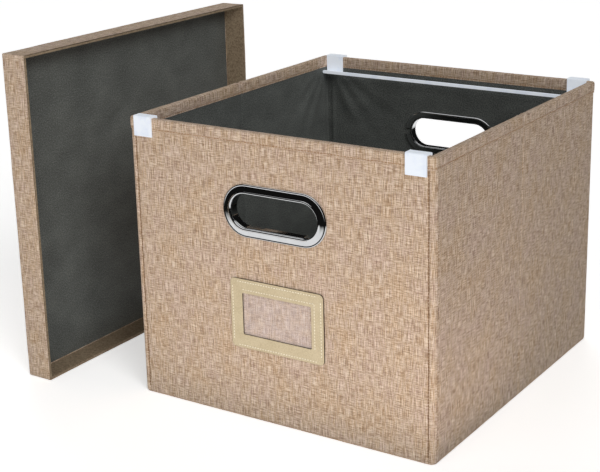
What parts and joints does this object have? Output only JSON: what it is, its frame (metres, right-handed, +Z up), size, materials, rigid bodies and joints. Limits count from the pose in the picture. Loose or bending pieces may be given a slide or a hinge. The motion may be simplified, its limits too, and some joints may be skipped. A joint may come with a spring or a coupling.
{
  "type": "fabric storage bin",
  "caption": "Open-top linen filing bin that folds flat, with oval metal grips, a label window, hook-on hanging-file rails, a loose base insert and a lift-off tray lid stood beside it.",
  "frame": {"origin": "centre of the bin's underside, on the surface it stands on", "axes": "+X to the bin's right seen from the label side, +Y from the label wall to the back wall, +Z up"},
  "size_m": [0.4447, 0.3724, 0.3276],
  "materials": {
    "linen": "matt slub weave",
    "lining_cloth": "matt non-woven",
    "chipboard": "raw grey chipboard",
    "polished_chrome": "polished",
    "white_steel": "white powder coat",
    "leatherette": "fine grain, satin",
    "clear_film": "clear"
  },
  "bodies": {
    "bin_front": {"front_outer_cloth": "linen", "front_board": "chipboard", "front_lining": "lining_cloth", "front_binding": "linen", "front_grip_ring": "polished_chrome", "front_grip_clip_upper": "polished_chrome", "front_grip_clip_lower": "polished_chrome", "label_frame": "leatherette", "label_film": "clear_film", "corner_front_left": "linen", "corner_front_right": "linen", "floor_cloth": "linen", "bottom_hem": "linen"},
    "left_front_half": {"left_front_outer_cloth": "linen", "left_front_board": "chipboard", "left_front_lining": "lining_cloth", "left_front_binding": "linen", "crease_left": "linen"},
    "left_rear_half": {"left_rear_outer_cloth": "linen", "left_rear_board": "chipboard", "left_rear_lining": "lining_cloth", "left_rear_binding": "linen"},
    "right_front_half": {"right_front_outer_cloth": "linen", "right_front_board": "chipboard", "right_front_lining": "lining_cloth", "right_front_binding": "linen", "crease_right": "linen"},
    "right_rear_half": {"right_rear_outer_cloth": "linen", "right_rear_board": "chipboard", "right_rear_lining": "lining_cloth", "right_rear_binding": "linen"},
    "back_wall": {"back_outer_cloth": "linen", "back_board": "chipboard", "back_lining": "lining_cloth", "back_binding": "linen", "back_grip_ring": "polished_chrome", "back_grip_clip_upper": "polished_chrome", "back_grip_clip_lower": "polished_chrome", "corner_rear_left": "linen", "corner_rear_right": "linen"},
    "front_rail": {"front_rail_bar": "white_steel", "front_rail_hook_left": "white_steel", "front_rail_hook_right": "white_steel"},
    "rear_rail": {"rear_rail_bar": "white_steel", "rear_rail_hook_left": "white_steel", "rear_rail_hook_right": "white_steel"},
    "base_insert": {"base_board": "chipboard", "base_cover": "lining_cloth"},
    "lid": {"lid_panel_board": "chipboard", "lid_lining": "lining_cloth", "lid_cloth": "linen", "lid_rim_board_front": "chipboard", "lid_rim_board_rear": "chipboard", "lid_rim_board_lower": "chipboard", "lid_rim_board_upper": "chipboard"}
  },
  "joints": [
    {"name": "collapse", "type": "hinge", "parent": "bin_front", "child": "left_front_half", "pos_m": [-0.154, -0.15, 0], "axis": [0, 0, -1], "range_deg": [0, 90], "deforming": ["corner_front_left", "corner_front_right", "corner_rear_left", "corner_rear_right", "crease_left", "crease_right", "bottom_hem", "floor_cloth"]},
    {"name": "left_crease_fold", "type": "hinge", "parent": "left_front_half", "child": "left_rear_half", "pos_m": [-0.16, 0, 0], "axis": [0, 0, 1], "range_deg": [0, 180]},
    {"name": "rear_left_corner_fold", "type": "hinge", "parent": "left_rear_half", "child": "back_wall", "pos_m": [-0.154, 0.15, 0], "axis": [0, 0, -1], "range_deg": [0, 90]},
    {"name": "front_right_corner_fold", "type": "hinge", "parent": "bin_front", "child": "right_front_half", "pos_m": [0.154, -0.15, 0], "axis": [0, 0, 1], "range_deg": [0, 90]},
    {"name": "right_crease_fold", "type": "hinge", "parent": "right_front_half", "child": "right_rear_half", "pos_m": [0.16, 0, 0], "axis": [0, 0, -1], "range_deg": [0, 180]},
    {"name": "front_rail_lift", "type": "slide", "parent": "bin_front", "child": "front_rail", "axis": [0, 0, 1], "range_m": [0, 0.06]},
    {"name": "rear_rail_lift", "type": "slide", "parent": "back_wall", "child": "rear_rail", "axis": [0, 0, 1], "range_m": [0, 0.06]},
    {"name": "base_lift", "type": "slide", "parent": "bin_front", "child": "base_insert", "axis": [0, 0, 1], "range_m": [0, 0.36]},
    {"name": "lid_lift", "type": "slide", "parent": "bin_front", "child": "lid", "axis": [0, 0, 1], "range_m": [0, 0.3]}
  ],
  "couplings": [
    {"joint": "left_crease_fold", "follows": "collapse", "ratio": 2},
    {"joint": "rear_left_corner_fold", "follows": "collapse", "ratio": 1},
    {"joint": "front_right_corner_fold", "follows": "collapse", "ratio": 1},
    {"joint": "right_crease_fold", "follows": "collapse", "ratio": 2}
  ]
}
